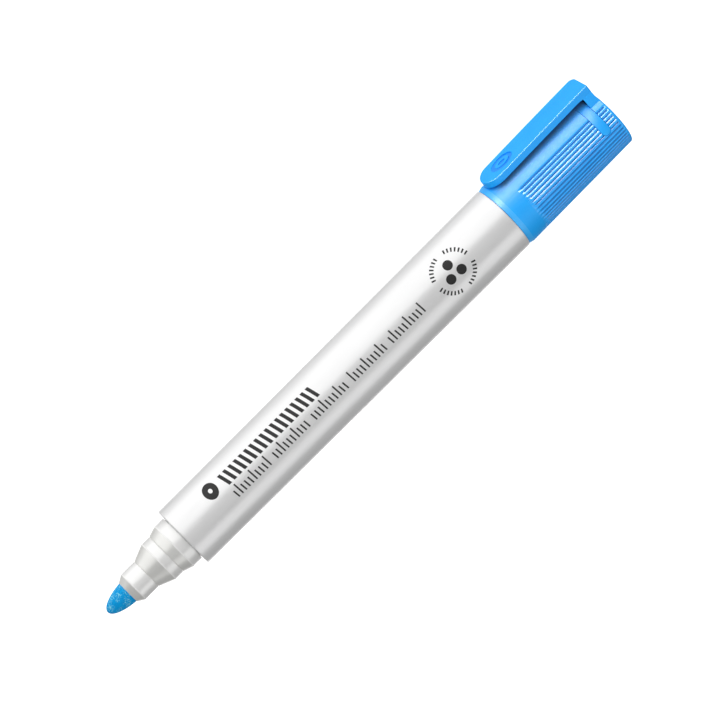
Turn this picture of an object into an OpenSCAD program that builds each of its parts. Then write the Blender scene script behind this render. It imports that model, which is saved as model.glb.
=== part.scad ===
// Whiteboard marker with its cap posted on the rear end, lying on its side.
// The pen's axis runs along X, with the nib towards +X and the cap towards -X.
// It lies on the floor z = 0, where the cap and one edge of the pocket clip touch it.

/* [Barrel] */
// Length of the barrel
barrel_l = 94.45; // [80:0.05:110]
// Outer radius at the front end
barrel_front_r = 7.38; // [7.2:0.01:7.6]
// Outer radius at the rear end
barrel_rear_r = 7.79; // [7.6:0.01:7.9]
// Radius of the bore at the front end
bore_front_r = 6.3; // [6.2:0.01:6.4]
// Radius of the bore at the rear end
bore_rear_r = 6.65; // [6.5:0.01:6.7]
// Rounding of the two end edges
barrel_edge_r = 0.3; // [0.1:0.05:0.5]

/* [Front section] */
// Width of the dark groove between barrel and cap seat
groove_w = 0.36; // [0.2:0.02:0.6]
// Depth of that groove
groove_d = 0.45; // [0.2:0.05:0.6]
// Radius of the cap seat, which the cap's mouth runs on
seat_r = 5.77; // [5.6:0.01:5.9]
// Length of the cap seat
seat_l = 2.28; // [1.5:0.02:3]
// Length of the cone in front of the cap seat
seat_cone_l = 2.25; // [1.5:0.05:3]
// Radius of the seal seat, which the inner cap's ring runs on
seal_r = 5.05; // [4.9:0.01:5.2]
// Length of the seal seat
seal_l = 2.24; // [1.5:0.02:3]
// Length of the long cone
neck_cone_l = 3.49; // [3:0.01:4]
// Radius of the neck
neck_r = 3.63; // [3.4:0.01:3.8]
// Length of the neck
neck_l = 3.83; // [3:0.01:4.5]
// Length of the nose cone
nose_l = 1.55; // [1:0.05:2]
// Radius of the nose at its tip
nose_r = 2.72; // [2.68:0.01:2.9]
// How far the section's plug reaches into the barrel
section_plug_l = 12; // [8:0.5:14]
// Radius of the chamber inside the section
section_chamber_r = 4.2; // [4:0.05:4.4]
// Depth of that chamber past the barrel's front face
section_chamber_l = 4; // [2:0.5:5]

/* [Nib] */
// Radius of the nib's shank
nib_r = 2.56; // [2.4:0.01:2.6]
// How far the nib stands out of the nose
nib_out_l = 5.85; // [5:0.01:7]
// Half length of the ellipse that shapes the bullet point
nib_ellipse_l = 7.4; // [7.3:0.1:9]
// How far the nib reaches into the ink reservoir
nib_in_reservoir_l = 6; // [3:0.5:10]

/* [Ink reservoir] */
// Radius of the fibre core
core_r = 5.75; // [5.5:0.05:5.8]
// Thickness of the film round the core
film_t = 0.12; // [0.1:0.02:0.2]
// Free length between the reservoir and the piece at either end
reservoir_gap = 0.3; // [0.1:0.1:1]

/* [Rear plug] */
// How far the plug's spigot stands out of the barrel
spigot_l = 12; // [10:0.5:14]
// How far the plug reaches into the barrel
rear_plug_l = 8; // [5:0.5:10]
// Wall of the hollow plug
rear_plug_wall = 1.2; // [1:0.1:1.5]

/* [Cap] */
// Length of the cap
cap_l = 30.93; // [30.93:0.01:34]
// Largest outer radius, just behind the rim chamfer
cap_r = 7.84; // [7.82:0.01:7.9]
// Outer radius at the closed end
cap_end_r = 7.53; // [7.5:0.01:7.8]
// Length of the rim chamfer
rim_chamfer_l = 1.15; // [0.5:0.05:1.5]
// How much the rim chamfer draws in
rim_chamfer_d = 0.3; // [0.1:0.05:0.4]
// Rounding of the closed end's edge
cap_edge_r = 0.4; // [0.2:0.05:0.6]
// Free length between the posted cap and the barrel
cap_gap = 0.1; // [0.05:0.01:0.2]
// Radius of the shell's bore, which holds the inner cap
shell_bore_r = 6.4; // [6.3:0.05:6.45]
// Thickness of the shell's end wall
cap_end_wall = 1.25; // [1:0.05:1.5]

/* [Grip grooves] */
// Number of groove pitches in a full turn
groove_pitches = 52; // [40:1:60]
// Angle from the clip's middle to the first groove
groove_first = 45; // [40:0.01:48]
// Depth of a groove
grip_d = 0.25; // [0.1:0.01:0.25]
// Distance from the rim to the grooves
grip_start = 5; // [4:0.1:8]
// Smooth length behind the grooves at the closed end
grip_end = 0.5; // [0.4:0.1:2]

/* [Slot] */
// Distance from the rim to the near side of the slot
slot_start = 25.9; // [25:0.05:26]
// Width of the slot along the axis
slot_w = 2.3; // [2:0.05:2.4]
// Angle from the clip's middle to each round end of the slot
slot_half = 83.4; // [75:0.1:88]

/* [Inner cap] */
// Radial clearance of the cap on its seats
running_gap = 0.06; // [0.03:0.01:0.1]
// Clearance round the lug that fills the slot
lug_gap = 0.1; // [0.05:0.01:0.15]
// Free length between the inner cap's cone and the cone it closes on
mouth_clearance = 0.2; // [0.15:0.05:0.4]
// Radius of the nib chamber
chamber_r = 5; // [4.8:0.05:5.05]

/* [Pocket clip] */
// Width of the clip
clip_w = 6.56; // [6:0.01:7]
// Thickness of the clip's arm
clip_t = 1.72; // [1.5:0.01:1.8]
// Height of the outer face over the pen's axis at the root
clip_root_h = 10.7; // [10.4:0.01:11]
// Height of the outer face over the pen's axis at the tip
clip_tip_h = 9.93; // [9.9:0.01:10.4]
// Distance from the cap's rim to the clip's tip
clip_tip = 1.2; // [0.8:0.1:3]
// Length of the web that joins the arm to the cap
clip_web_l = 2.48; // [2:0.01:2.5]
// Distance from the web to the closed end
clip_inset = 0.21; // [0.1:0.01:0.23]
// Rounding of the two root corners
clip_corner_r = 1; // [0.5:0.1:1.2]
// Free space between the web's foot and the cap
clip_foot_gap = 0.08; // [0.06:0.01:0.12]

/* [Hidden] */
$fn = 96;

// Stations along X, from the nib to the cap. The middle of the whole pen is at x = 0.
section_l = groove_w + seat_l + seat_cone_l + seal_l + neck_cone_l + neck_l + nose_l;
pen_l = nib_out_l + section_l + barrel_l + cap_gap + cap_l;
nib_tip_x = pen_l / 2;
nose_x = nib_tip_x - nib_out_l;
barrel_front_x = nose_x - section_l;
barrel_rear_x = barrel_front_x - barrel_l;
rim_x = barrel_rear_x - cap_gap;
cap_end_x = rim_x - cap_l;

// Stations of the front section
seat_x = barrel_front_x + groove_w;
seat_cone_x = seat_x + seat_l;
seal_x = seat_cone_x + seat_cone_l;
neck_cone_x = seal_x + seal_l;
neck_x = neck_cone_x + neck_cone_l;
nose_cone_x = neck_x + neck_l;

// Stations of the reservoir and the plugs
section_rear_x = barrel_front_x - section_plug_l;
reservoir_front_x = section_rear_x - reservoir_gap;
nib_rear_x = reservoir_front_x - nib_in_reservoir_l;
rear_plug_x = barrel_rear_x + rear_plug_l;
reservoir_rear_x = rear_plug_x + reservoir_gap;
nib_point_l = 2;
reservoir_r = core_r + film_t;

// Stations of the cap
slot_front_x = rim_x - slot_start;
slot_rear_x = slot_front_x - slot_w;
end_wall_x = cap_end_x + cap_end_wall;
end_recess_r = 5.5;
shell_slope = (cap_r - cap_end_r) / (cap_l - rim_chamfer_l);

// The pen lies on the cap's largest circle and on one edge of the clip.
clip_lay = asin(cap_r / norm([clip_root_h, clip_w / 2])) - atan(clip_w / 2 / clip_root_h);
axis_z = cap_r;
axis_y = (clip_root_h * cos(clip_lay) + clip_w / 2 * sin(clip_lay) - cap_r) / 2;

// Small sizes that fits and edges depend on
past = 0.5;
lead_in = 0.3;
arc_steps = 5;

// The slot's round ends are a hair wider than its straight stretch, so no two walls are tangent.
round_end_extra = 0.02;

// Outer radius of the cap shell at a station
function shell_r(x) = cap_r - shell_slope * (rim_x - rim_chamfer_l - x);

// Radius of the barrel's bore at a station
function bore_r(x) =
  bore_front_r + (bore_rear_r - bore_front_r) * (barrel_front_x - x) / barrel_l;

// Points [radius, x] of a quarter round edge of radius r. The arc goes from angle a to b.
function edge_arc(centre_r, centre_x, r, a, b) = [
  for (i = [0:arc_steps])
    let (angle = a + (b - a) * i / arc_steps)
      [centre_r + r * cos(angle), centre_x + r * sin(angle)]
];

// Turns an outline of [radius, x] points about the pen's axis.
module turned(outline) {
  rotate([0, 90, 0])
    rotate_extrude()
      polygon(outline);
}

// A cylinder along the pen's axis, from one station to another
module along(r, x_from, x_to) {
  translate([x_from, 0, 0])
    rotate([0, 90, 0])
      cylinder(r = r, h = x_to - x_from);
}

// Puts a piece that is modelled about the X axis where the pen lies.
module lying() {
  translate([0, axis_y, axis_z])
    children();
}

// Turns a piece so that its +Z side faces the way the clip points.
module clip_side() {
  rotate([90 + clip_lay, 0, 0])
    children();
}

// Tapered tube with rounded outer edges
module barrel() {
  front_arc = edge_arc(
    barrel_front_r - barrel_edge_r, barrel_front_x - barrel_edge_r, barrel_edge_r, 0, 90
  );
  rear_arc = edge_arc(
    barrel_rear_r - barrel_edge_r, barrel_rear_x + barrel_edge_r, barrel_edge_r, -90, 0
  );
  color("gainsboro")
    lying()
      turned(concat(
        [[bore_rear_r, barrel_rear_x]],
        rear_arc,
        front_arc,
        [[bore_front_r, barrel_front_x]]
      ));
}

// Stepped holder of the nib, with a plug that sits in the barrel's bore
module front_section() {
  color("whitesmoke")
    lying()
      difference() {
        turned([
          [0, section_rear_x],
          [bore_r(section_rear_x), section_rear_x],
          [bore_front_r, barrel_front_x],
          [seat_r - groove_d, barrel_front_x],
          [seat_r - groove_d, seat_x],
          [seat_r, seat_x],
          [seat_r, seat_cone_x],
          [seal_r, seal_x],
          [seal_r, neck_cone_x],
          [neck_r, neck_x],
          [neck_r, nose_cone_x],
          [nose_r, nose_x],
          [0, nose_x]
        ]);
        along(section_chamber_r, section_rear_x - past, barrel_front_x + section_chamber_l);
        along(nib_r, section_rear_x, nose_x + past);
      }
}

// Bullet nib of felted fibre. Its rear point sits in the ink reservoir.
module nib() {
  nib_point_steps = 16;
  base = sqrt(1 - pow(1 - nib_out_l / nib_ellipse_l, 2));
  bullet = [
    for (i = [nib_point_steps:-1:0])
      let (back = nib_out_l * pow(i / nib_point_steps, 2))
        [nib_r * sqrt(1 - pow(1 - back / nib_ellipse_l, 2)) / base, nib_tip_x - back]
  ];
  color("dodgerblue")
    lying()
      turned(concat(
        [
          [0, nib_rear_x],
          [nib_r / 2, nib_rear_x],
          [nib_r, nib_rear_x + nib_point_l]
        ],
        bullet
      ));
}

// Fibre core that holds the ink, with the hole that the nib's rear end makes
module ink_reservoir() {
  color("steelblue")
    lying()
      turned([
        [0, reservoir_rear_x],
        [core_r, reservoir_rear_x],
        [core_r, reservoir_front_x],
        [nib_r, reservoir_front_x],
        [nib_r, nib_rear_x + nib_point_l],
        [nib_r / 2, nib_rear_x],
        [0, nib_rear_x]
      ]);
}

// Thin film sleeve round the fibre core
module reservoir_film() {
  color("lightgrey")
    lying()
      turned([
        [core_r, reservoir_rear_x],
        [reservoir_r, reservoir_rear_x],
        [reservoir_r, reservoir_front_x],
        [core_r, reservoir_front_x]
      ]);
}

// Closes the barrel, and carries the same seats as the front section for the posted cap
module rear_plug() {
  groove_x = barrel_rear_x - groove_w;
  plug_cone_x = groove_x - seat_l;
  plug_seal_x = plug_cone_x - seat_cone_l;
  plug_dome_x = plug_seal_x - seal_l;
  dome_l = spigot_l - (barrel_rear_x - plug_dome_x);
  dome_steps = 8;
  dome = [
    for (i = [dome_steps:-1:0])
      let (angle = 90 * i / dome_steps)
        [(seal_r - lead_in) * cos(angle), plug_dome_x - dome_l * sin(angle)]
  ];
  color("deepskyblue")
    lying()
      difference() {
        turned(concat(
          dome,
          [
            [seal_r, plug_dome_x + lead_in],
            [seal_r, plug_seal_x],
            [seat_r, plug_cone_x],
            [seat_r, groove_x],
            [seat_r - groove_d, groove_x],
            [seat_r - groove_d, barrel_rear_x],
            [bore_rear_r, barrel_rear_x],
            [bore_r(rear_plug_x), rear_plug_x],
            [0, rear_plug_x]
          ]
        ));
        along(seat_r - groove_d - rear_plug_wall, groove_x, rear_plug_x + past);
      }
}

// One straight V groove along the shell, at an angle from the clip's middle
module grip_groove(angle) {
  x_from = rim_x - grip_start;
  x_to = cap_end_x + grip_end;
  mean_r = (shell_r(x_from) + shell_r(x_to)) / 2;
  side = sqrt(2) * grip_d;
  rotate([angle, 0, 0])
    translate([(x_from + x_to) / 2, 0, mean_r])
      rotate([0, -atan(shell_slope), 0])
        rotate([45, 0, 0])
          cube([x_from - x_to, side, side], center = true);
}

// A band round the clip's side with two round ends, for the slot and for the lug in it
module slot_band(inner_r, outer_r, gap) {
  end_r = slot_w / 2 - gap;
  straight = slot_half - asin(slot_w / 2 / shell_r(slot_front_x));
  mid_x = (slot_front_x + slot_rear_x) / 2;
  translate([mid_x, 0, 0])
    rotate([0, 90, 0])
      rotate_extrude(angle = 2 * straight, start = 180 - straight)
        translate([inner_r, -end_r])
          square([outer_r - inner_r, 2 * end_r]);
  for (side = [-1, 1])
    rotate([side * straight, 0, 0])
      translate([mid_x, 0, inner_r])
        cylinder(r = end_r + round_end_extra, h = outer_r - inner_r);
}

// Outer shell of the cap with its grip grooves and the slot for the inner cap's lug
module cap_shell() {
  pitch = 360 / groove_pitches;
  grooves = floor((360 - 2 * groove_first) / pitch + 0.01);
  end_arc = edge_arc(
    shell_r(cap_end_x) - cap_edge_r, cap_end_x + cap_edge_r, cap_edge_r, -90, 0
  );
  color("dodgerblue")
    lying()
      clip_side()
        difference() {
          turned(concat(
            [[0, end_wall_x], [0, cap_end_x]],
            end_arc,
            [
              [cap_r, rim_x - rim_chamfer_l],
              [cap_r - rim_chamfer_d, rim_x],
              [shell_bore_r, rim_x],
              [shell_bore_r, slot_rear_x],
              [end_recess_r, slot_rear_x],
              [end_recess_r, end_wall_x]
            ]
          ));
          for (k = [0:grooves])
            grip_groove(groove_first + k * pitch);
          slot_band(end_recess_r, cap_r + past, 0);
        }
}

// Liner that seals the nib. Its lug shows in the shell's slot.
module inner_cap() {
  sleeve_x = rim_x - lead_in;
  mouth_r = seat_r + running_gap;
  ring_r = seal_r + running_gap;
  mouth_cone_x = barrel_rear_x - groove_w - seat_l - mouth_clearance;
  ring_x = mouth_cone_x - seat_cone_l;
  chamber_x = ring_x - seal_l - lead_in;
  color("dodgerblue")
    lying()
      clip_side()
        union() {
          turned([
            [0, slot_rear_x],
            [shell_bore_r, slot_rear_x],
            [shell_bore_r, sleeve_x],
            [mouth_r, sleeve_x],
            [mouth_r, mouth_cone_x],
            [ring_r, ring_x],
            [ring_r, chamber_x],
            [chamber_r, chamber_x - lead_in],
            [chamber_r, slot_front_x],
            [0, slot_front_x]
          ]);
          slot_band(shell_bore_r - past, shell_r(slot_rear_x) - lug_gap / 2, lug_gap);
        }
}

// Flat sprung arm with a round tip, on a web that stands on the cap's closed end
module pocket_clip() {
  root_x = cap_end_x + clip_inset;
  arm_l = rim_x - clip_tip - root_x;
  arm_tilt = atan((clip_root_h - clip_tip_h) / arm_l);
  foot_from_x = cap_end_x - past;
  foot_to_x = root_x + clip_web_l + past;
  color("dodgerblue")
    lying()
      clip_side()
        difference() {
          translate([root_x, 0, clip_root_h])
            rotate([0, arm_tilt, 0]) {
              translate([0, 0, -clip_t])
                linear_extrude(clip_t)
                  clip_outline(arm_l);
              translate([0, 0, cap_end_r / 2 - clip_root_h])
                linear_extrude(clip_root_h - cap_end_r / 2 - clip_t / 2)
                  intersection() {
                    clip_outline(arm_l);
                    translate([0, -clip_w / 2])
                      square([clip_web_l, clip_w]);
                  }
            }
          turned([
            [0, foot_from_x],
            [shell_r(foot_from_x) + clip_foot_gap, foot_from_x],
            [shell_r(foot_to_x) + clip_foot_gap, foot_to_x],
            [0, foot_to_x]
          ]);
        }
}

// Outline of the clip seen from outside: two rounded root corners and a round tip
module clip_outline(arm_l) {
  half_w = clip_w / 2;
  translate([clip_corner_r, -half_w])
    square([arm_l - half_w - clip_corner_r, clip_w]);
  translate([0, clip_corner_r - half_w])
    square([clip_corner_r, clip_w - 2 * clip_corner_r]);
  for (side = [-1, 1])
    translate([clip_corner_r, side * (half_w - clip_corner_r)])
      circle(r = clip_corner_r);
  translate([arm_l - half_w, 0])
    circle(r = half_w);
}

barrel();
front_section();
nib();
ink_reservoir();
reservoir_film();
rear_plug();
cap_shell();
inner_cap();
pocket_clip();
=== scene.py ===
import math

import bmesh
import bpy
from mathutils import Matrix, Vector


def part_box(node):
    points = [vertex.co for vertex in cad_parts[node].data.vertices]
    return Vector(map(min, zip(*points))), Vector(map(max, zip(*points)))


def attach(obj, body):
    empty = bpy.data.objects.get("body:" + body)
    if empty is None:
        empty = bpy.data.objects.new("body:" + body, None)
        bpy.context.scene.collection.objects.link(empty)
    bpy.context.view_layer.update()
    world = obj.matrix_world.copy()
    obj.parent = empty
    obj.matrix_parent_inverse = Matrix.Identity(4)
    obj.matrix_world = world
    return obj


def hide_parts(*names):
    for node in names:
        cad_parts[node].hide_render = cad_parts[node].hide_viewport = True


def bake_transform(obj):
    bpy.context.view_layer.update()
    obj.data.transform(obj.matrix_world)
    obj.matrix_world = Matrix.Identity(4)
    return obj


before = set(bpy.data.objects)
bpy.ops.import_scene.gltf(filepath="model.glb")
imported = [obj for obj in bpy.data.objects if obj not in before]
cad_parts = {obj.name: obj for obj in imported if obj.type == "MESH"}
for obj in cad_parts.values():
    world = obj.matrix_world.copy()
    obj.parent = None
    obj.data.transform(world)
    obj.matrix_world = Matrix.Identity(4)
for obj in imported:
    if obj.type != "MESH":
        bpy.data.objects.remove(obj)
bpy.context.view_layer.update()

MM = 0.001

# ---------------------------------------------------------------- places that the frame gives
barrel_low, barrel_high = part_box("barrel")
shell_low, shell_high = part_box("cap_shell")
AXIS_Y = (barrel_low.y + barrel_high.y) / 2
AXIS_Z = (barrel_low.z + barrel_high.z) / 2
BARREL_FRONT_X = barrel_high.x
BARREL_REAR_X = barrel_low.x
NOSE_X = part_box("front_section")[1].x
SECTION_REAR_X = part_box("front_section")[0].x
NIB_TIP_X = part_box("nib")[1].x
NIB_REAR_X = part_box("nib")[0].x
PLUG_END_X, PLUG_FRONT_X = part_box("rear_plug")[0].x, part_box("rear_plug")[1].x
RIM_X = shell_high.x
CAP_END_X = shell_low.x

# ---------------------------------------------------------------- radii and lengths
# The barrel and the joint at each end of it
BARREL_FRONT_R = 7.38 * MM
BARREL_REAR_R = (barrel_high.z - barrel_low.z) / 2
BORE_FRONT_R = 6.3 * MM
BORE_REAR_R = 6.65 * MM
GROOVE_W, GROOVE_D = 0.36 * MM, 0.45 * MM

# The front section's steps, of which the rear plug has the first two as well, and the nib
SEAT_R, SEAT_L, SEAT_CONE_L = 5.77 * MM, 2.28 * MM, 2.25 * MM
SEAL_R, SEAL_L = 5.05 * MM, 2.24 * MM
NECK_R, NECK_CONE_L, NECK_L = 3.63 * MM, 3.49 * MM, 3.83 * MM
NOSE_R = 2.72 * MM
NIB_R = 2.56 * MM
NIB_ELLIPSE_L = 7.4 * MM

# The cap's shell, the slot in it and the liner, whose lug fills the slot
CAP_R = (shell_high.z - shell_low.z) / 2
CAP_END_R = 7.53 * MM
RIM_CHAMFER_L, RIM_CHAMFER_D = 1.15 * MM, 0.3 * MM
SHELL_BORE_R = 6.4 * MM
END_WALL, END_RECESS_R = 1.25 * MM, 5.5 * MM
SLOT_START, SLOT_W = 25.9 * MM, 2.3 * MM
SLOT_HALF = math.radians(83.4)
RUNNING_GAP, LUG_GAP = 0.06 * MM, 0.1 * MM
CHAMBER_R = 5.0 * MM

# The ribs: pitches in a full turn, where the first valley is, and how deep the valleys are. Faces
# deeper than VALLEY_DEPTH get a darker blue: painted shade in the valleys.
GRIP_PITCHES = 52
GRIP_FIRST = math.radians(45)
GRIP_DEPTH, VALLEY_DEPTH = 0.25 * MM, 0.13 * MM
GRIP_START, GRIP_RUN_OUT, GRIP_END = 4.85 * MM, 1.2 * MM, 0.75 * MM

# The clip: its heights are from the pen's axis to its outer face
CLIP_W, CLIP_T = 6.56 * MM, 1.72 * MM
CLIP_ROOT_H, CLIP_TIP_H = 10.7 * MM, 9.93 * MM
CLIP_TIP, CLIP_INSET, CLIP_WEB_L = 1.2 * MM, 0.21 * MM, 2.48 * MM

# The clip points this far below the horizon.
CLIP_LAY = math.asin(AXIS_Z / math.hypot(CLIP_ROOT_H, CLIP_W / 2)) - math.atan2(CLIP_W / 2, CLIP_ROOT_H)
# From pen space, which has the pen's axis along X and the clip on the +Z side, to the world.
PEN = Matrix.Translation((0, AXIS_Y, AXIS_Z)) @ Matrix.Rotation(math.pi / 2 + CLIP_LAY, 4, "X")

# The clip is turned this far from the side that faces the camera.
CLIP_FROM_CAMERA = math.radians(58)


def shell_r(x):
    """Outer radius of the cap shell at a station along X."""
    chamfer_x = RIM_X - RIM_CHAMFER_L
    return CAP_R + (CAP_END_R - CAP_R) * (chamfer_x - x) / (chamfer_x - CAP_END_X)


def barrel_r(x):
    """Outer radius of the barrel at a station along X."""
    share = (BARREL_FRONT_X - x) / (BARREL_FRONT_X - BARREL_REAR_X)
    return BARREL_FRONT_R + (BARREL_REAR_R - BARREL_FRONT_R) * share


def round_axis(x, r, angle):
    """A point in pen space, turned from the clip's side about the pen's axis."""
    return Vector((x, r * math.sin(angle), r * math.cos(angle)))


# ---------------------------------------------------------------- materials
PLASTIC_IOR = 1.5


def blank(name, metallic=0.0):
    """A material with a Principled shader. Returns (material, node tree, shader)."""
    material = bpy.data.materials.new(name)
    material.use_nodes = True
    tree = material.node_tree
    shader = tree.nodes["Principled BSDF"]
    shader.inputs["Metallic"].default_value = metallic
    shader.inputs["IOR"].default_value = PLASTIC_IOR
    return material, tree, shader


def noise(tree, size, stretch=(1, 1, 1), detail=3.0, seed=0.0):
    """Noise from 0 to 1 with patches of that size in metres, drawn out by stretch."""
    place = tree.nodes.new("ShaderNodeTexCoord")
    mapping = tree.nodes.new("ShaderNodeMapping")
    mapping.inputs["Scale"].default_value = [1 / (size * k) for k in stretch]
    mapping.inputs["Location"].default_value = (seed, seed * 0.7, seed * 0.3)
    texture = tree.nodes.new("ShaderNodeTexNoise")
    texture.inputs["Scale"].default_value = 1
    texture.inputs["Detail"].default_value = detail
    tree.links.new(place.outputs["Object"], mapping.inputs["Vector"])
    tree.links.new(mapping.outputs["Vector"], texture.inputs["Vector"])
    return texture.outputs["Fac"]


def ranged(tree, value, low, high, from_low=0.3, from_high=0.7):
    """A value brought from one range to another and clamped."""
    node = tree.nodes.new("ShaderNodeMapRange")
    node.inputs["From Min"].default_value = from_low
    node.inputs["From Max"].default_value = from_high
    node.inputs["To Min"].default_value = low
    node.inputs["To Max"].default_value = high
    tree.links.new(value, node.inputs["Value"])
    return node.outputs["Result"]


def mixed(tree, factor, low, high):
    """A colour between two colours (or colour outputs) by a factor."""
    node = tree.nodes.new("ShaderNodeMix")
    node.data_type = "RGBA"
    tree.links.new(factor, node.inputs["Factor"])
    for socket, colour in ((node.inputs[6], low), (node.inputs[7], high)):
        if isinstance(colour, tuple):
            socket.default_value = (*colour, 1)
        else:
            tree.links.new(colour, socket)
    return node.outputs[2]


def times(tree, first, second):
    """The product of two values."""
    node = tree.nodes.new("ShaderNodeMath")
    node.operation = "MULTIPLY"
    tree.links.new(first, node.inputs[0])
    tree.links.new(second, node.inputs[1])
    return node.outputs["Value"]


def bumped(tree, value, depth, normal=None):
    """A bumped normal from heights of that depth in metres."""
    node = tree.nodes.new("ShaderNodeBump")
    node.inputs["Strength"].default_value = 1
    node.inputs["Distance"].default_value = depth
    tree.links.new(value, node.inputs["Height"])
    if normal:
        tree.links.new(normal, node.inputs["Normal"])
    return node.outputs["Normal"]


# The shade under the clip is full up to the first angle from the clip's middle and ends at the second.
SHADE_FULL, SHADE_END = math.radians(19.5), math.radians(30)
SHADE_TIP_L = 3 * MM


def under_clip(tree):
    """1 on the cap right under the clip, where little light gets in, falling to 0 beside it and
    towards its tip."""
    place = tree.nodes.new("ShaderNodeTexCoord")
    split = tree.nodes.new("ShaderNodeSeparateXYZ")
    from_axis = tree.nodes.new("ShaderNodeVectorMath")
    from_axis.operation = "SUBTRACT"
    from_axis.inputs[1].default_value = (0, AXIS_Y, AXIS_Z)
    towards_clip = tree.nodes.new("ShaderNodeVectorMath")
    towards_clip.operation = "DOT_PRODUCT"
    towards_clip.inputs[1].default_value = (0, -math.cos(CLIP_LAY), -math.sin(CLIP_LAY))
    tree.links.new(place.outputs["Object"], split.inputs["Vector"])
    tree.links.new(place.outputs["Object"], from_axis.inputs[0])
    tree.links.new(from_axis.outputs["Vector"], towards_clip.inputs[0])
    full, none = CAP_R * math.cos(SHADE_FULL), CAP_R * math.cos(SHADE_END)
    beside = ranged(tree, towards_clip.outputs["Value"], 0, 1, none, full)
    tip_x = RIM_X - CLIP_TIP
    along = ranged(tree, split.outputs["X"], 1, 0, tip_x - SHADE_TIP_L, tip_x)
    return times(tree, beside, along)


def plastic(name, low, high, rough, grain, depth, metallic=0.0, specular=0.5, draw=(1, 1, 1),
            waves=0.004 * MM, shade=None):
    """Moulded plastic: patchy colour and gloss, a fine grain, and wide shallow waves in the wall.
    grain is the grain's size and depth its height; waves is the height of the waves."""
    patch, gloss_patch, wave = 4 * MM, 0.8 * MM, 5 * MM
    material, tree, shader = blank(name, metallic)
    shader.inputs["Specular IOR Level"].default_value = specular
    colour = mixed(tree, ranged(tree, noise(tree, patch, draw), 0, 1), low, high)
    if shade:
        colour = mixed(tree, under_clip(tree), colour, shade)
    tree.links.new(colour, shader.inputs["Base Color"])
    gloss = ranged(tree, noise(tree, gloss_patch, draw, seed=3.1), rough[0], rough[1])
    tree.links.new(gloss, shader.inputs["Roughness"])
    fine = bumped(tree, noise(tree, grain, detail=1.0, seed=7.7), depth)
    wavy = bumped(tree, noise(tree, wave, draw, detail=0.0, seed=1.3), waves, fine)
    tree.links.new(wavy, shader.inputs["Normal"])
    return material


def fibre(name, low, high, fleck, rough=0.75):
    """Pressed fibres along X: dark and light strands with bright flecks where ends show. The flecks are
    partly painted highlights: glints off those ends.
    """
    strand, spot, spread = 0.16 * MM, 0.17 * MM, 1.6 * MM
    material, tree, shader = blank(name)
    shader.inputs["Specular IOR Level"].default_value = 0.15
    strands = noise(tree, strand, (3, 1, 1), detail=4.0)
    base = mixed(tree, ranged(tree, strands, 0, 1, 0.35, 0.65), low, high)
    spots = noise(tree, spot, (1.3, 1, 1), detail=1.0, seed=5.5)
    cloud = noise(tree, spread, detail=1.0, seed=2.2)
    # Bright flecks: fibre ends, partly painted glints
    flecks = times(tree, ranged(tree, spots, 0, 1, 0.5, 0.68), ranged(tree, cloud, 0, 1, 0.46, 0.58))
    tree.links.new(mixed(tree, flecks, base, fleck), shader.inputs["Base Color"])
    tree.links.new(ranged(tree, strands, rough - 0.1, rough + 0.1), shader.inputs["Roughness"])
    coarse = bumped(tree, strands, 0.05 * MM)
    tree.links.new(bumped(tree, spots, 0.03 * MM, coarse), shader.inputs["Normal"])
    return material


def ink(name):
    """Printed black ink: nearly even, a little thin in places, with a dry mottle."""
    material, tree, shader = blank(name)
    mottle = noise(tree, 0.25 * MM, detail=4.0)
    colour = mixed(tree, ranged(tree, mottle, 0, 1), (0.008, 0.008, 0.008), (0.018, 0.018, 0.018))
    tree.links.new(colour, shader.inputs["Base Color"])
    tree.links.new(ranged(tree, mottle, 0.42, 0.6), shader.inputs["Roughness"])
    tree.links.new(bumped(tree, mottle, 0.002 * MM), shader.inputs["Normal"])
    return material


def clear_film(name):
    """The thin wrap round the ink core: almost clear, with faint creases along it."""
    material, tree, shader = blank(name)
    creases = noise(tree, 0.6 * MM, (12, 1, 1))
    tint = mixed(tree, ranged(tree, creases, 0, 1), (0.8, 0.86, 0.9), (0.9, 0.94, 0.96))
    tree.links.new(tint, shader.inputs["Base Color"])
    shader.inputs["Transmission Weight"].default_value = 0.6
    tree.links.new(ranged(tree, creases, 0.12, 0.3), shader.inputs["Roughness"])
    tree.links.new(bumped(tree, creases, 0.02 * MM), shader.inputs["Normal"])
    return material


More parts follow.
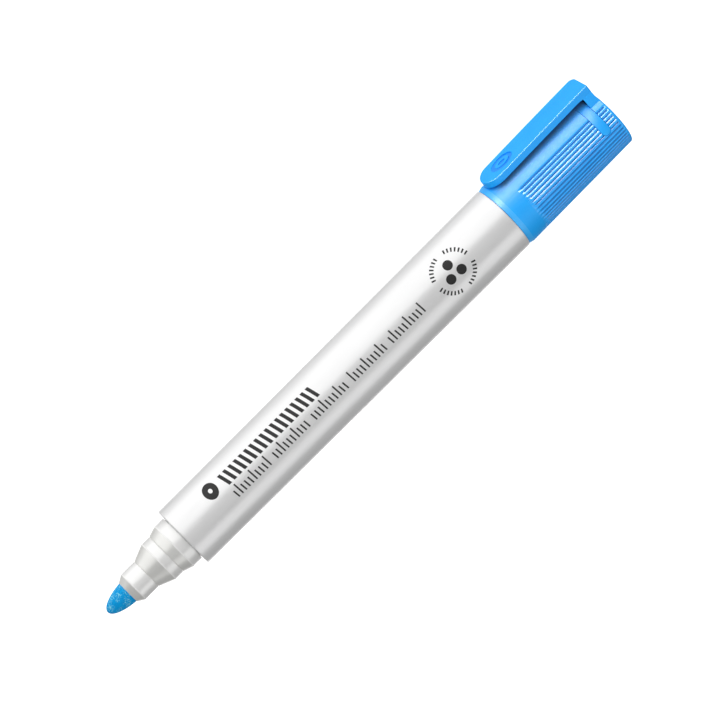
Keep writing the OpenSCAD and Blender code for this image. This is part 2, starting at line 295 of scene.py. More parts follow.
BLUE_LOW, BLUE_HIGH = (0.0, 0.37, 0.96), (0.002, 0.395, 0.985)
# The darker blue for the badge's recess is painted shade
RECESS_SHADE_LOW, RECESS_SHADE_HIGH = (0.0, 0.25, 0.84), (0.001, 0.28, 0.9)
looks = {
    "barrel": plastic(
        "barrel_pearl_white", (0.88, 0.88, 0.88), (0.92, 0.92, 0.92), (0.3, 0.36),
        0.12 * MM, 0.0008 * MM, metallic=0.5, draw=(6, 1, 1),
    ),
    "section": plastic(
        "section_warm_white", (0.93, 0.93, 0.915), (0.96, 0.96, 0.95), (0.28, 0.34),
        0.15 * MM, 0.0008 * MM, metallic=0.4,
    ),
    # Painted shade: a darker copy of the section's white for its cones
    "cone_shade": plastic(
        "cone_painted_shade_white", (0.83, 0.83, 0.8), (0.86, 0.86, 0.835), (0.28, 0.34),
        0.15 * MM, 0.0008 * MM, metallic=0.5,
    ),
    # Painted highlight: a lighter white for the fine lips, so that they show as bright lines
    "lip_highlight": plastic(
        "lip_painted_highlight_white", (0.97, 0.97, 0.96), (0.99, 0.99, 0.98), (0.5, 0.6),
        0.15 * MM, 0.0005 * MM,
    ),
    "cap_satin": plastic(
        "cap_satin_blue", BLUE_LOW, BLUE_HIGH, (0.44, 0.5),
        0.2 * MM, 0.006 * MM, specular=0.2, shade=(0.08, 0.21, 0.33),
    ),
    "clip_satin": plastic(
        "clip_satin_blue", (0.0, 0.375, 0.965), (0.002, 0.395, 0.985), (0.46, 0.52),
        0.2 * MM, 0.006 * MM, specular=0.22,
    ),
    # Painted shade: a darker blue for the inside of the clip's recessed badge
    "recess_shade": plastic(
        "recess_painted_shade_blue", RECESS_SHADE_LOW, RECESS_SHADE_HIGH, (0.3, 0.4),
        0.3 * MM, 0.0005 * MM, specular=0.3,
    ),
    "cap_gloss": plastic(
        "cap_gloss_blue", BLUE_LOW, BLUE_HIGH, (0.27, 0.3),
        0.3 * MM, 0.0002 * MM, specular=0.38, waves=0,
    ),
    # Painted shade: a darker blue for the faces deep in the valleys between the ribs
    "valley_shade": plastic(
        "valley_painted_shade_blue", (0.0, 0.15, 0.52), (0.0, 0.19, 0.6), (0.27, 0.3),
        0.3 * MM, 0.0002 * MM, specular=0.38, waves=0,
    ),
    # Painted light: a lighter blue for the rim's chamfer, which faces the light
    "rim_light": plastic(
        "rim_painted_light_blue", (0.03, 0.43, 0.97), (0.036, 0.45, 0.99), (0.38, 0.44),
        0.2 * MM, 0.003 * MM, specular=0.28,
    ),
    "nib": fibre("nib_blue_fibre", (0.0, 0.29, 0.74), (0.0, 0.43, 0.9), (0.32, 0.88, 0.97)),
    "core": fibre(
        "core_blue_fibre", (0.01, 0.22, 0.62), (0.05, 0.36, 0.78), (0.5, 0.7, 0.85), rough=0.85,
    ),
    "film": clear_film("core_clear_film"),
    "ink": ink("print_black_ink"),
}


def wear(piece, *names):
    """Gives a piece materials from the looks, one slot for each name."""
    for name in names:
        piece.data.materials.append(looks[name])


# ---------------------------------------------------------------- mesh tools
SHARP_ANGLE = math.radians(50)


def rounded(corners, steps=6, support=0.05 * MM):
    """Outline [(x, r)] from corners (x, r, rounding). Straight stretches get a point near each
    end, which keeps their smooth shading true."""
    ends = []
    for i, (x, r, fillet) in enumerate(corners):
        here = Vector((x, r))
        if not fillet or i in (0, len(corners) - 1):
            ends.append([here])
            continue
        back = (Vector(corners[i - 1][:2]) - here).normalized()
        on = (Vector(corners[i + 1][:2]) - here).normalized()
        half = back.angle(on) / 2
        reach = fillet / math.tan(half)
        centre = here + (back + on).normalized() * fillet / math.sin(half)
        first, last = here + back * reach - centre, here + on * reach - centre
        turn = first.angle_signed(last)
        ends.append([
            centre + Matrix.Rotation(-turn * k / steps, 2) @ first for k in range(steps + 1)
        ])
    outline = [ends[0][0]]
    for before, after in zip(ends, ends[1:]):
        start, end = before[-1], after[0]
        if (end - start).length > 4 * support:
            along = (end - start).normalized() * support
            outline += [start + along, end - along]
        outline += after
    return [tuple(p) for p in outline]


def new_piece(name, vertices, faces, body, stands_for=()):
    """A smooth mesh piece from points in pen space, with its normals facing out, riding on a body."""
    bm = bmesh.new()
    points = [bm.verts.new(PEN @ Vector(v)) for v in vertices]
    for face in faces:
        corners = list(dict.fromkeys(points[i] for i in face))
        if len(corners) > 2:
            bm.faces.new(corners)
    return finish_piece(name, bm, body, stands_for)


def finish_piece(name, bm, body, stands_for=()):
    """Turns a bmesh in world space into a smooth piece, riding on a body if one is given."""
    bmesh.ops.recalc_face_normals(bm, faces=bm.faces)
    mesh = bpy.data.meshes.new(name)
    bm.to_mesh(mesh)
    bm.free()
    mesh.polygons.foreach_set("use_smooth", [True] * len(mesh.polygons))
    mesh.set_sharp_from_angle(angle=SHARP_ANGLE)
    piece = bpy.data.objects.new(name, mesh)
    bpy.context.scene.collection.objects.link(piece)
    if body:
        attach(piece, body)
    if stands_for:
        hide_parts(*stands_for)
    return piece


ON_AXIS = 1e-9


def revolve(name, outline, body, stands_for=(), segments=256, dent=None):
    """Turns an outline [(x, r)] about the pen's axis. An outline that doesn't start and end on
    the axis is closed into a ring. dent(x, r, angle) is how far a point is pressed in."""
    poles = outline[0][1] < ON_AXIS
    vertices, rings = [], []
    for x, r in outline:
        if r < ON_AXIS:
            rings.append([len(vertices)] * segments)
            vertices.append((x, 0, 0))
            continue
        rings.append(range(len(vertices), len(vertices) + segments))
        for j in range(segments):
            angle = 2 * math.pi * j / segments
            vertices.append(round_axis(x, r - (dent(x, r, angle) if dent else 0), angle))
    if not poles:
        rings.append(rings[0])
    faces = [
        (a[j], a[(j + 1) % segments], b[(j + 1) % segments], b[j])
        for a, b in zip(rings, rings[1:])
        for j in range(segments)
    ]
    return new_piece(name, vertices, faces, body, stands_for)


def apply_modifiers(piece):
    """Bakes a piece's modifiers into its mesh and removes them."""
    graph = bpy.context.evaluated_depsgraph_get()
    mesh = bpy.data.meshes.new_from_object(piece.evaluated_get(graph))
    old = piece.data
    piece.modifiers.clear()
    piece.data = mesh
    mesh.name = piece.name
    mesh.set_sharp_from_angle(angle=SHARP_ANGLE)
    bpy.data.meshes.remove(old)


def combine(piece, other, operation):
    """Cuts, intersects or joins two closed meshes; the other one is used up. The faces that it
    leaves keep its materials, if it has any."""
    boolean = piece.modifiers.new("combine", "BOOLEAN")
    boolean.object = other
    boolean.operation = operation
    boolean.solver = "EXACT"
    if other.data.materials:
        boolean.material_mode = "TRANSFER"
    apply_modifiers(piece)
    bpy.data.objects.remove(other)


def bevel(piece, width):
    """Rounds a piece's sharp edges."""
    rounding = piece.modifiers.new("bevel", "BEVEL")
    rounding.width = width
    rounding.segments = 3
    rounding.limit_method = "ANGLE"
    rounding.angle_limit = SHARP_ANGLE
    rounding.harden_normals = True
    apply_modifiers(piece)


# ---------------------------------------------------------------- pieces of the pen body
def make_barrel():
    """The barrel: an open tapered tube with small roundings at its ends."""
    edge, rear_edge = 0.3 * MM, 0.12 * MM
    outline = rounded([
        (BARREL_FRONT_X, BORE_FRONT_R, 0),
        (BARREL_FRONT_X, BARREL_FRONT_R, edge),
        (BARREL_REAR_X, BARREL_REAR_R, rear_edge),
        (BARREL_REAR_X, BORE_REAR_R, 0),
    ])
    return revolve("barrel_tube", outline, "pen", ["barrel"])


def make_front_section():
    """The stepped nib holder, with its sleeve inside the barrel."""
    edge, joint_w, joint_d = 0.03 * MM, 0.16 * MM, 0.45 * MM
    lip_w, lip_h, lip_edge = 0.24 * MM, 0.02 * MM, 0.01 * MM
    crease_w, crease_d, crease_slope = 0.12 * MM, 0.1 * MM, 0.35
    joint_x = BARREL_FRONT_X + joint_w
    cone_x = BARREL_FRONT_X + GROOVE_W + SEAT_L
    seal_x = cone_x + SEAT_CONE_L
    long_cone_x = seal_x + SEAL_L
    neck_x = long_cone_x + NECK_CONE_L
    nose_cone_x = neck_x + NECK_L
    lips = [(cone_x, SEAT_R), (long_cone_x, SEAL_R), (nose_cone_x, NECK_R)]
    creases = {cone_x: (seal_x, SEAL_R), long_cone_x: (neck_x, NECK_R)}
    corners = [
        (SECTION_REAR_X, NIB_R, 0),
        (SECTION_REAR_X, BORE_FRONT_R, 0),
        (BARREL_FRONT_X, BORE_FRONT_R, 0),
        (BARREL_FRONT_X, SEAT_R - joint_d, 0),
        (joint_x, SEAT_R - joint_d, 0),
        (joint_x, SEAT_R, edge),
    ]
    # Each step ends in a fine lip at its front and starts from a crease behind it.
    for x, r in lips:
        corners += [(x - lip_w, r, 0), (x - lip_w + lip_h, r + lip_h, 0), (x, r + lip_h, lip_edge)]
        if x in creases:
            crease_x, low_r = creases[x]
            corners += [
                (crease_x - crease_w, low_r + crease_w * crease_slope, 0),
                (crease_x, low_r - crease_d, 0),
                (crease_x + crease_w, low_r, 0),
            ]
    corners += [(NOSE_X, NOSE_R, edge), (NOSE_X, NIB_R, 0)]
    outline = rounded(corners, steps=3)
    section = revolve("nib_holder", outline, "pen", ["front_section"])
    plain_slot, lip_highlight_slot, cone_shade_slot = range(3)
    wear(section, "section", "lip_highlight", "cone_shade")
    cones = [(cone_x, seal_x), (long_cone_x, neck_x), (nose_cone_x, NOSE_X)]
    for face in section.data.polygons:
        x = face.center.x
        # The lips take the lighter white, a painted highlight
        lip = any(start - lip_w < x < start + lip_h for start, _ in lips)
        # The cones take the darker white, painted shade
        cone = any(start < x < end for start, end in cones)
        face.material_index = lip_highlight_slot if lip else cone_shade_slot if cone else plain_slot


def make_nib():
    """The bullet nib: an ellipse outside the nose, a plain rod with a blunt point inside."""
    steps = 40
    out = NIB_TIP_X - NOSE_X
    base = math.sqrt(1 - (1 - out / NIB_ELLIPSE_L) ** 2)
    bullet = []
    for i in range(steps, -1, -1):
        back = out * (i / steps) ** 2
        share = math.sqrt(1 - (1 - back / NIB_ELLIPSE_L) ** 2) / base
        bullet.append((NIB_TIP_X - back, NIB_R * share))
    point = 2 * MM
    outline = [(NIB_REAR_X, 0), (NIB_REAR_X, NIB_R / 2), (NIB_REAR_X + point, NIB_R), *bullet]
    return revolve("bullet_nib", outline, "pen", ["nib"])


def make_rear_plug():
    """The plug that closes the barrel and carries the posted cap, with a domed end."""
    edge, end_taper = 0.07 * MM, 0.05 * MM
    lead_in = 0.3 * MM
    wall = 1.2 * MM
    bottom_r = SEAT_R - GROOVE_D
    groove_x = BARREL_REAR_X - GROOVE_W
    cone_x = groove_x - SEAT_L
    seal_x = cone_x - SEAT_CONE_L
    dome_x = seal_x - SEAL_L
    dome_r, dome_steps = SEAL_R - lead_in, 16
    dome = [
        (dome_x - (dome_x - PLUG_END_X) * math.sin(a), dome_r * math.cos(a))
        for a in (math.pi / 2 * i / dome_steps for i in range(dome_steps - 1, -1, -1))
    ]
    flank = rounded([
        (dome_x, dome_r, 0),
        (dome_x + lead_in, SEAL_R, edge),
        (seal_x, SEAL_R, edge),
        (cone_x, SEAT_R, edge),
        (groove_x, SEAT_R, edge),
        (groove_x, bottom_r, 0),
        (BARREL_REAR_X, bottom_r, 0),
        (BARREL_REAR_X, BORE_REAR_R, 0),
        (PLUG_FRONT_X, BORE_REAR_R - end_taper, edge),
        (PLUG_FRONT_X, bottom_r - wall, 0),
        (groove_x, bottom_r - wall, 0),
        (groove_x, 0, 0),
    ])
    outline = [(PLUG_END_X, 0), *dome, *flank[1:]]
    return revolve("posting_plug", outline, "pen", ["rear_plug"])


# ---------------------------------------------------------------- pieces of the cap
SEGMENTS_PER_RIB = 16
RIB_SIDE = 0.02


def grip_dent(x, r, angle):
    """Depth between the round ribs on the outer wall. They run out to nothing at both ends."""
    if r < (CAP_END_R + SHELL_BORE_R) / 2:
        return 0
    begin = min(1, max(0, (RIM_X - GRIP_START - x) / GRIP_RUN_OUT))
    stop = min(1, max(0, (x - CAP_END_X - GRIP_END / 2) / (GRIP_END / 2)))
    pitch = 2 * math.pi / GRIP_PITCHES
    turn = angle % (2 * math.pi)
    off = (turn - GRIP_FIRST) / pitch
    last = (2 * math.pi - 2 * GRIP_FIRST) / pitch
    if off < -0.5 or off > last + 0.5:
        return 0
    return GRIP_DEPTH * min(begin, stop) * (1 - abs(math.sin(math.pi * off)))


MERGE = 1e-7


def slot_band(name, half_w, half_angle, inner_r, outer_r):
    """A band about the clip's side with two round ends, from one radius to another."""
    mid_x = RIM_X - SLOT_START - SLOT_W / 2
    end_angle = half_w / shell_r(mid_x)
    straight = half_angle - end_angle
    steps, end_steps = 60, 10
    stations = [(-straight + 2 * straight * i / steps, half_w) for i in range(steps + 1)]
    for i in range(1, end_steps + 1):
        a = math.pi / 2 * i / end_steps
        stations.append((straight + end_angle * math.sin(a), half_w * math.cos(a)))
        stations.insert(0, (-straight - end_angle * math.sin(a), half_w * math.cos(a)))
    vertices = [
        round_axis(mid_x + side * w, r, angle)
        for angle, w in stations
        for r, side in ((inner_r, -1), (outer_r, -1), (outer_r, 1), (inner_r, 1))
    ]
    faces = [
        (4 * i + k, 4 * i + (k + 1) % 4, 4 * i + 4 + (k + 1) % 4, 4 * i + 4 + k)
        for i in range(len(stations) - 1)
        for k in range(4)
    ]
    band = new_piece(name, vertices, faces, None)
    bm = bmesh.new()
    bm.from_mesh(band.data)
    bmesh.ops.remove_doubles(bm, verts=bm.verts, dist=MERGE)
    bmesh.ops.recalc_face_normals(bm, faces=bm.faces)
    bm.to_mesh(band.data)
    bm.free()
    return band


def make_cap_shell():
    """The cap's outer shell with its ribs and its slot."""
    rim_edge, chamfer_edge, end_edge, inner_edge = 0.05 * MM, 0.3 * MM, 0.4 * MM, 0.1 * MM
    slot_rear_x = RIM_X - SLOT_START - SLOT_W
    outline = rounded([
        (CAP_END_X + END_WALL, 0, 0),
        (CAP_END_X + END_WALL, END_RECESS_R, 0),
        (slot_rear_x, END_RECESS_R, 0),
        (slot_rear_x, SHELL_BORE_R, 0),
        (RIM_X, SHELL_BORE_R, inner_edge),
        (RIM_X, CAP_R - RIM_CHAMFER_D, rim_edge),
        (RIM_X - RIM_CHAMFER_L, CAP_R, chamfer_edge),
        (CAP_END_X, CAP_END_R, end_edge),
        (CAP_END_X, 0, 0),
    ])
    # Rings for the ribs go between the end of the chamfer's rounding and the rounded end.
    near_rim_x, near_wall_r, end_face_r = RIM_X - 2 * MM, CAP_R - 0.15 * MM, 7 * MM
    first = max(i for i, (x, r) in enumerate(outline) if r > near_wall_r and x > near_rim_x)
    steps, closing_steps = 12, 5
    run_out = [RIM_X - GRIP_START - GRIP_RUN_OUT * i / steps for i in range(steps + 1)]
    end_x = CAP_END_X + GRIP_END
    middle = [run_out[-1] + (end_x - run_out[-1]) * i / steps for i in range(1, steps)]
    closing = [end_x - GRIP_END / 2 * i / closing_steps for i in range(closing_steps + 1)]
    rings = [(x, shell_r(x)) for x in (*run_out, *middle, *closing) if x > CAP_END_X + end_edge]
    last_x = rings[-1][0] - MERGE
    rest = [(x, r) for x, r in outline[first + 1 :] if x < last_x or r < end_face_r]
    outline = outline[: first + 1] + rings + rest
    shell = revolve(
        "cap_shell_ribbed", outline, "cap", ["cap_shell"],
        segments=GRIP_PITCHES * SEGMENTS_PER_RIB, dent=grip_dent,
    )
    satin_slot, rib_slot, valley_shade_slot, rim_light_slot = range(4)
    wear(shell, "cap_satin", "cap_gloss", "valley_shade", "rim_light")
    into_pen = PEN.inverted()
    for face in shell.data.polygons:
        middle = into_pen @ face.center
        angle, r = math.atan2(middle.y, middle.z), math.hypot(middle.y, middle.z)
        gripped = CAP_END_X + GRIP_END / 2 < middle.x < RIM_X - GRIP_START
        ribbed = gripped and abs(angle) > GRIP_FIRST - RIB_SIDE
        # The rim's chamfer takes a lighter blue, painted light
        rim = middle.x > RIM_X - RIM_CHAMFER_L
        # Faces deep in a valley take the darker blue, painted shade
        deep = grip_dent(middle.x, r, angle) > VALLEY_DEPTH
        if deep:
            face.material_index = valley_shade_slot
        elif ribbed:
            face.material_index = rib_slot
        elif rim:
            face.material_index = rim_light_slot
        else:
            face.material_index = satin_slot
    inner_r, outer_r = SHELL_BORE_R - 0.2 * MM, CAP_R + 1 * MM
    combine(shell, slot_band("slot_cutter", SLOT_W / 2, SLOT_HALF, inner_r, outer_r), "DIFFERENCE")
    return shell


def make_inner_cap():
    """The liner in the shell, which fits the plug's two seats, and the lug that shows in the slot."""
    edge, lug_edge = 0.08 * MM, 0.12 * MM
    lead_in, end_gap, lug_sunk = 0.3 * MM, 0.2 * MM, 0.3 * MM
    mouth_cone_x = BARREL_REAR_X - GROOVE_W - SEAT_L - end_gap
    ring_x = mouth_cone_x - SEAT_CONE_L
    chamber_x = ring_x - SEAL_L - lead_in
    slot_front_x = RIM_X - SLOT_START
    outline = rounded([
        (slot_front_x - SLOT_W, 0, 0),
        (slot_front_x - SLOT_W, SHELL_BORE_R, 0),
        (RIM_X - lead_in, SHELL_BORE_R, 0),
        (RIM_X - lead_in, SEAT_R + RUNNING_GAP, edge),
        (mouth_cone_x, SEAT_R + RUNNING_GAP, edge),
        (ring_x, SEAL_R + RUNNING_GAP, edge),
        (chamber_x, SEAL_R + RUNNING_GAP, 0),
        (chamber_x - lead_in, CHAMBER_R, 0),
        (slot_front_x, CHAMBER_R, 4 * edge),
        (slot_front_x, 0, 0),
    ])
    liner = revolve("inner_cap_liner", outline, "cap", ["inner_cap"])
    lug = slot_band(
        "inner_cap_lug", SLOT_W / 2 - LUG_GAP, SLOT_HALF - LUG_GAP / CAP_R,
        SHELL_BORE_R - lug_sunk, shell_r(slot_front_x) - LUG_GAP / 2,
    )
    bevel(lug, lug_edge)
    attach(lug, "cap")
    return [liner, lug]


def prism(name, outline, low, high, place):
    """A closed prism over a flat outline. place(point, height) puts each corner in pen space."""
    n = len(outline)
    vertices = [place(p, h) for h in (low, high) for p in outline]
    faces = [tuple(range(n))[::-1], tuple(range(n, 2 * n))]
    faces += [(i, (i + 1) % n, n + (i + 1) % n, n + i) for i in range(n)]
    return new_piece(name, vertices, faces, None)


def clip_side_line(side, corner, round_l, root_x, tip_x):
    """One side of the clip from outside, from its root end round a corner to its tip:
    [(x, across, inward x, inward across)]."""
    half = CLIP_W / 2
    corner_steps, straight_steps, tip_steps = 8, 30, 24
    centre, start = tip_x - round_l, root_x + corner
    line = []
    for i in range(corner_steps):
        a = math.pi / 2 * i / corner_steps
        across = side * (half - corner + corner * math.sin(a))
        line.append((start - corner * math.cos(a), across, math.cos(a), -side * math.sin(a)))
    for i in range(straight_steps):
        line.append((start + (centre - start) * i / straight_steps, side * half, 0, -side))
    for i in range(tip_steps + 1):
        a = math.pi / 2 * i / tip_steps
        inward = Vector((-math.sin(a) / round_l, -side * math.cos(a) / half)).normalized()
        line.append((centre + round_l * math.sin(a), side * half * math.cos(a), *inward))
    return line


def clip_arm(near, far, top, thickness, edge, rounded_from):
    """The clip's arm between its two side lines, with round edges. The lower edge stays sharp at
    the root, up to a station along X, where the web joins it."""
    loop = near + far[-2::-1]
    n, steps, fade = len(loop), 5, 1 * MM
    vertices, layers = [], []
    turns = [math.pi / 2 * i / steps for i in range(steps + 1)]
    for low in (False, True):
        for turn in (reversed(turns) if low else turns):
            layers.append(range(len(vertices), len(vertices) + n))
            for x, y, inward_x, inward_y in loop:
                round_r = edge * (min(1, max(0, (x - rounded_from) / fade)) if low else 1)
                inward, drop = round_r * (1 - math.sin(turn)), round_r * (1 - math.cos(turn))
                px, py = x + inward_x * inward, y + inward_y * inward
                vertices.append((px, py, top(px) - thickness + drop if low else top(px) - drop))
    faces = [
        (a[i], a[(i + 1) % n], b[(i + 1) % n], b[i])
        for a, b in zip(layers, layers[1:])
        for i in range(n)
    ]
    for layer in (layers[0], layers[-1]):
        for i in range(len(near) - 1):
            faces.append((layer[i], layer[i + 1], layer[n - 2 - i], layer[n - 1 - i]))
    return new_piece("clip_arm", vertices, faces, None)


def clip_foot(root_x, web_x):
    """The web's foot: it widens towards the cap on both sides and is sunk a little into it."""
    half, sunk, steps = CLIP_W / 2, 0.12 * MM, 24
    edge, inset = 0.3 * MM, 0.1 * MM
    radius = shell_r((root_x + web_x) / 2)
    start_h, spread = 9.2 * MM, math.radians(32.5)
    flare = [
        (half - inset, start_h),
        (half, start_h - edge),
        (radius * math.sin(spread), radius * math.cos(spread)),
    ]
    low = radius - sunk
    for i in range(steps + 1):
        a = spread * (1 - i / steps)
        flare.append((low * math.sin(a), low * math.cos(a)))
    outline = flare + [(-y, z) for y, z in flare[-2::-1]]
    return prism("clip_foot", outline, root_x + inset, web_x, lambda p, x: Vector((x, p[0], p[1])))


def oval(x, half_l, half_w, steps=40):
    """Outline of an oval on the clip's middle line."""
    return [
        (x + half_l * math.cos(a), half_w * math.sin(a))
        for a in (2 * math.pi * i / steps for i in range(steps))
    ]


def clip_plan_at(point, height):
    """Places a prism's corner that is given by its station, how far across it is, and its height."""
    return Vector((point[0], point[1], height))


# A face is on one of the arm's round upper edges if its normal's share away from the pen is between
# these two.
EDGE_LOOKS_OUT = (0.12, 0.98)
BADGE_FROM_TIP, BADGE_DEPTH = 6 * MM, 0.13 * MM


def make_clip():
    """The pocket clip in one mesh: arm, web, foot and a recessed badge."""
    root_x = CAP_END_X + CLIP_INSET
    tip_x = RIM_X - CLIP_TIP
    web_x = root_x + CLIP_WEB_L
    length = tip_x - root_x
    bow = 0.27 * MM
    foot_h, spare = 7 * MM, 1 * MM
    inner_fillet, edge = 0.3 * MM, 0.25 * MM
    near_corner, far_corner = 0.4 * MM, 1.5 * MM
    near_round, far_round = 4.1 * MM, 3.0 * MM

    def top(x):
        """Height of the outer face. It bends down a little towards the tip."""
        share = (x - root_x) / length
        return CLIP_ROOT_H - (CLIP_ROOT_H - CLIP_TIP_H - bow) * share - bow * share**2

    near = clip_side_line(1, near_corner, near_round, root_x, tip_x)
    far = clip_side_line(-1, far_corner, far_round, root_x, tip_x)
    clip = clip_arm(near, far, top, CLIP_T, edge, web_x)
    under = top(web_x) - CLIP_T
    side = rounded([
        (web_x, foot_h, 0),
        (web_x, under, inner_fillet),
        (web_x + 2 * inner_fillet, under, 0),
        (web_x + 2 * inner_fillet, under + edge, 0),
        (root_x - edge, under + edge, 0),
        (root_x - edge, foot_h, 0),
    ])
    web = prism("clip_web", side, -CLIP_W, CLIP_W, lambda p, across: Vector((p[0], across, p[1])))
    loop = [p[:2] for p in near + far[-2::-1]]
    plan = prism("clip_plan", loop, foot_h - spare, CLIP_ROOT_H, clip_plan_at)
    combine(web, plan, "INTERSECT")
    combine(clip, web, "UNION")
    wear(clip, "clip_satin", "cap_gloss")
    into_pen = PEN.inverted().to_3x3()
    for face in clip.data.polygons:
        face.material_index = EDGE_LOOKS_OUT[0] < (into_pen @ face.normal).z < EDGE_LOOKS_OUT[1]
    combine(clip, clip_foot(root_x, web_x), "UNION")
    # A recessed ring with a dot in it, painted a darker blue inside as shade
    badge_x = tip_x - BADGE_FROM_TIP
    deep, high = top(badge_x) - BADGE_DEPTH, CLIP_ROOT_H
    badge = prism("badge", oval(badge_x, 2.9 * MM, 1.9 * MM), deep, high, clip_plan_at)
    island = prism("island", oval(badge_x, 1.9 * MM, 1.1 * MM), deep - spare, high + spare, clip_plan_at)
    dot = prism("dot", oval(badge_x, 0.95 * MM, 0.5 * MM), deep, high, clip_plan_at)
    for part in (badge, island, dot):
        wear(part, "recess_shade")
    combine(badge, island, "DIFFERENCE")
    combine(clip, badge, "DIFFERENCE")
    combine(clip, dot, "DIFFERENCE")
    weighted = clip.modifiers.new("weighted", "WEIGHTED_NORMAL")
    weighted.weight = 100
    weighted.keep_sharp = True
    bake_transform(clip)
    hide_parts("pocket_clip")
    return clip


# ---------------------------------------------------------------- marks printed on the barrel
INK_T = 0.02 * MM


class Print:
    """Thin marks on the barrel. A place on it is (along, around): along from the barrel's front and
    around from the side that faces the camera, both in metres on the surface."""

    def __init__(self):
        self.vertices, self.faces = [], []

    def patch(self, place, columns, rows):
        """A closed patch whose points are place(u, v) with u and v from 0 to 1."""
        first = len(self.vertices)
        for lift in (-INK_T, INK_T):
            for i in range(columns + 1):
                for j in range(rows + 1):
                    along, around = place(i / columns, j / rows)
                    x = BARREL_FRONT_X - along
                    r = barrel_r(x)
                    angle = CLIP_FROM_CAMERA - around / r
                    self.vertices.append(round_axis(x, r + lift, angle))
        n, m = columns + 1, rows + 1
        top = first + n * m
        for i in range(columns):
            for j in range(rows):
                a, b, c, d = i * m + j, i * m + j + 1, (i + 1) * m + j + 1, (i + 1) * m + j
                self.faces.append((top + a, top + b, top + c, top + d))
                self.faces.append((first + d, first + c, first + b, first + a))
            for j in (0, rows):
                a, d = i * m + j, (i + 1) * m + j
                self.faces.append((first + a, first + d, top + d, top + a))
        for i in (0, columns):
            for j in range(rows):
                a, b = i * m + j, i * m + j + 1
                self.faces.append((first + a, first + b, top + b, top + a))

    def slanted(self, along, around, width, height, slant):
        """An upright bar, leaning by slant over its height."""
        self.patch(lambda u, v: (along + width * u - slant * v, around + height * (v - 0.5)), 3, 10)

    def ring(self, along, around, outer, inner, squeeze=1, start=0, sweep=2 * math.pi, steps=96):
        """A ring or a part of one. squeeze is its length over its height."""
        def place(u, v):
            a = start + sweep * u
            r = inner + (outer - inner) * v
            return along + squeeze * r * math.cos(a), around + r * math.sin(a)
        self.patch(place, steps, 3)


def make_print():
    """Generic marks in the places where such a barrel is printed. None of them is lettering."""
    marks = Print()
    # A disc with a hole, then a band of bold slanted bars.
    marks.ring(10.6 * MM, 2.85 * MM, 2 * MM, 0.55 * MM, squeeze=0.83)
    bars, pitch, bar_w, bar_h = 18, 1.5 * MM, 0.78 * MM, 3.2 * MM
    for i in range(bars):
        marks.slanted(14.3 * MM + i * pitch, 2.5 * MM, bar_w, bar_h, slant=0.7 * MM)
    # A longer band of thin bars beside it, every fourth one taller, with a gap after each ten.
    thin_bars, thin_pitch, thin_w, low_h, tall_h = 54, 1.02 * MM, 0.34 * MM, 1.75 * MM, 2.7 * MM
    for i in range(thin_bars):
        if i % 11 == 10:
            continue
        height = tall_h if i % 4 == 1 else low_h
        middle = -1.45 * MM + (height - low_h) / 2
        marks.slanted(14 * MM + i * thin_pitch, middle, thin_w, height, slant=0.2 * MM)
    # A dial: a rim of short ticks round three dots.
    dial_x, dial_y = 78.2 * MM, -0.5 * MM
    ticks, tick_sweep, dial_r, tick_r = 36, 0.075, 5.1 * MM, 4.15 * MM
    for i in range(ticks):
        if i % 9 in (0, 8):
            continue
        start = 2 * math.pi * i / ticks
        marks.ring(dial_x, dial_y, dial_r, tick_r, start=start, sweep=tick_sweep, steps=2)
    dots, dots_r, dot_r = 3, 1.75 * MM, 1.1 * MM
    for i in range(dots):
        a = math.pi / 2 + 2 * math.pi * i / dots
        marks.ring(dial_x + dots_r * math.cos(a), dial_y + dots_r * math.sin(a), dot_r, 0, steps=40)
    return marks


# ---------------------------------------------------------------- camera, floor and light
CAMERA_DISTANCE = 729 * MM
# Off square to the pen, and round the view's own axis
CAMERA_TILT = math.radians(4.74)
CAMERA_ROLL = math.radians(44.895)
# In millimetres, as the camera takes them
CAMERA_LENS, CAMERA_SENSOR = 175, 36
# In metres
CAMERA_NEAR, CAMERA_FAR = 0.05, 20
AIM_FROM_BARREL_FRONT = 52.1 * MM
AIM_ABOVE_AXIS = 0.15 * MM
# In metres
FLOOR_HALF = 4
LAMP_DISTANCE = 0.6
ROOM_STRENGTH = 0.3


def square_to_pen():
    """Two directions square to the pen's axis: towards the camera's side, and across the picture."""
    rise = CLIP_FROM_CAMERA - CLIP_LAY
    side = Vector((0, -math.cos(rise), math.sin(rise)))
    across = Vector((0, -math.sin(rise), -math.cos(rise)))
    return side, across


def make_camera():
    """The camera, a little off square to the pen and rolled so that the pen lies on the diagonal."""
    side, across = square_to_pen()
    to_camera = math.cos(CAMERA_TILT) * side + math.sin(CAMERA_TILT) * Vector((1, 0, 0))
    along = (Vector((-1, 0, 0)) + math.sin(CAMERA_TILT) * to_camera) / math.cos(CAMERA_TILT)
    right = math.cos(CAMERA_ROLL) * along - math.sin(CAMERA_ROLL) * across
    up = math.sin(CAMERA_ROLL) * along + math.cos(CAMERA_ROLL) * across
    aim = Vector((BARREL_FRONT_X - AIM_FROM_BARREL_FRONT, AXIS_Y, AXIS_Z)) + across * AIM_ABOVE_AXIS
    data = bpy.data.cameras.new("camera")
    data.lens = CAMERA_LENS
    data.sensor_width = CAMERA_SENSOR
    camera = bpy.data.objects.new("camera", data)
    bpy.context.scene.collection.objects.link(camera)
    turn = Matrix((right, up, to_camera)).transposed().to_4x4()
    camera.matrix_world = Matrix.Translation(aim + to_camera * CAMERA_DISTANCE) @ turn
    data.clip_start, data.clip_end = CAMERA_NEAR, CAMERA_FAR
    bpy.context.scene.camera = camera


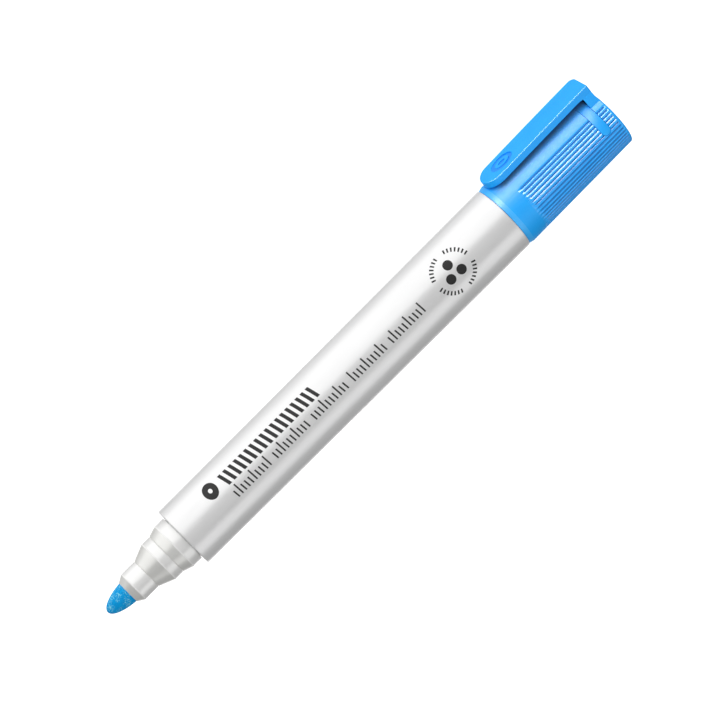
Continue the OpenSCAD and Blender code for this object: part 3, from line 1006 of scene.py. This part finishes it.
def make_stage():
    """A white floor that glows just enough to show no shadow, as on a light table, and a dim room.
    The floor lets light from below through, so that the lamps alone shape the marker."""
    corners = ((-1, -1), (1, -1), (1, 1), (-1, 1))
    bm = bmesh.new()
    bm.faces.new([bm.verts.new((FLOOR_HALF * x, FLOOR_HALF * y, 0)) for x, y in corners])
    floor = finish_piece("floor", bm, None)
    material, _, shader = blank("floor_white")
    shader.inputs["Base Color"].default_value = (0.85, 0.85, 0.85, 1)
    shader.inputs["Roughness"].default_value = 0.9
    shader.inputs["Emission Color"].default_value = (1, 1, 1, 1)
    shader.inputs["Emission Strength"].default_value = 1
    floor.data.materials.append(material)
    for ray in ("visible_diffuse", "visible_glossy", "visible_transmission", "visible_shadow"):
        setattr(floor, ray, False)
    world = bpy.data.worlds.new("room")
    bpy.context.scene.world = world
    world.use_nodes = True
    background = world.node_tree.nodes["Background"]
    background.inputs["Color"].default_value = (1, 1, 1, 1)
    background.inputs["Strength"].default_value = ROOM_STRENGTH


def strip_light(name, angle, radiance, width, length=1.0, only=None, diffuse=True, glossy=True):
    """A long softbox along the marker. angle and width are in degrees about the pen's axis, from
    the side that faces the camera. only is a collection of the pieces that it lights; diffuse and
    glossy say which of their shading it reaches."""
    side, across = square_to_pen()
    turn_round = math.radians(angle)
    direction = math.cos(turn_round) * side + math.sin(turn_round) * across
    data = bpy.data.lights.new(name, "AREA")
    data.shape = "RECTANGLE"
    data.size = length
    data.size_y = 2 * LAMP_DISTANCE * math.tan(math.radians(width) / 2)
    # Blender's watts for an area lamp: radiance * pi * area.
    data.energy = radiance * math.pi * data.size * data.size_y
    lamp = bpy.data.objects.new(name, data)
    bpy.context.scene.collection.objects.link(lamp)
    along = Vector((1, 0, 0))
    turn = Matrix((along, direction.cross(along), direction)).transposed().to_4x4()
    place = Vector((0, AXIS_Y, AXIS_Z)) + direction * LAMP_DISTANCE
    lamp.matrix_world = Matrix.Translation(place) @ turn
    lamp.visible_camera = False
    lamp.visible_diffuse = diffuse
    lamp.visible_glossy = glossy
    if only:
        lamp.light_linking.receiver_collection = only


# ---------------------------------------------------------------- the scene
make_camera()
barrel = make_barrel()
make_front_section()
nib = make_nib()
plug = make_rear_plug()
shell = make_cap_shell()
liner, lug = make_inner_cap()
clip = make_clip()
marks = make_print()
printing = new_piece("barrel_print", marks.vertices, marks.faces, "pen")

wear(barrel, "barrel")
wear(nib, "nib")
wear(plug, "cap_gloss")
wear(liner, "cap_gloss")
wear(lug, "cap_satin")
wear(printing, "ink")
for node, look in (("ink_reservoir", "core"), ("reservoir_film", "film")):
    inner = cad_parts[node]
    inner.data.materials.clear()
    wear(inner, look)

cap_pieces = bpy.data.collections.new("cap_pieces")
for piece in (shell, lug, liner, clip):
    cap_pieces.objects.link(piece)

make_stage()
strip_light("top_softbox", -70, 0.7, 38)
strip_light("front_softbox", 53, 1.0, 90, length=1.6)
strip_light("front_fringe", -14, 0.2, 44)
strip_light("low_front_softbox", 114, 0.42, 32)
strip_light("rear_softbox", 180, 0.9, 60)
strip_light("cap_key", 48, 36, 24, only=cap_pieces, diffuse=False)
strip_light("cap_top_key", -50, 2.4, 36, only=cap_pieces, diffuse=False)
strip_light("cap_fill", 4, 0.53, 70, only=cap_pieces, glossy=False)
bpy.context.scene.view_settings.view_transform = "Standard"
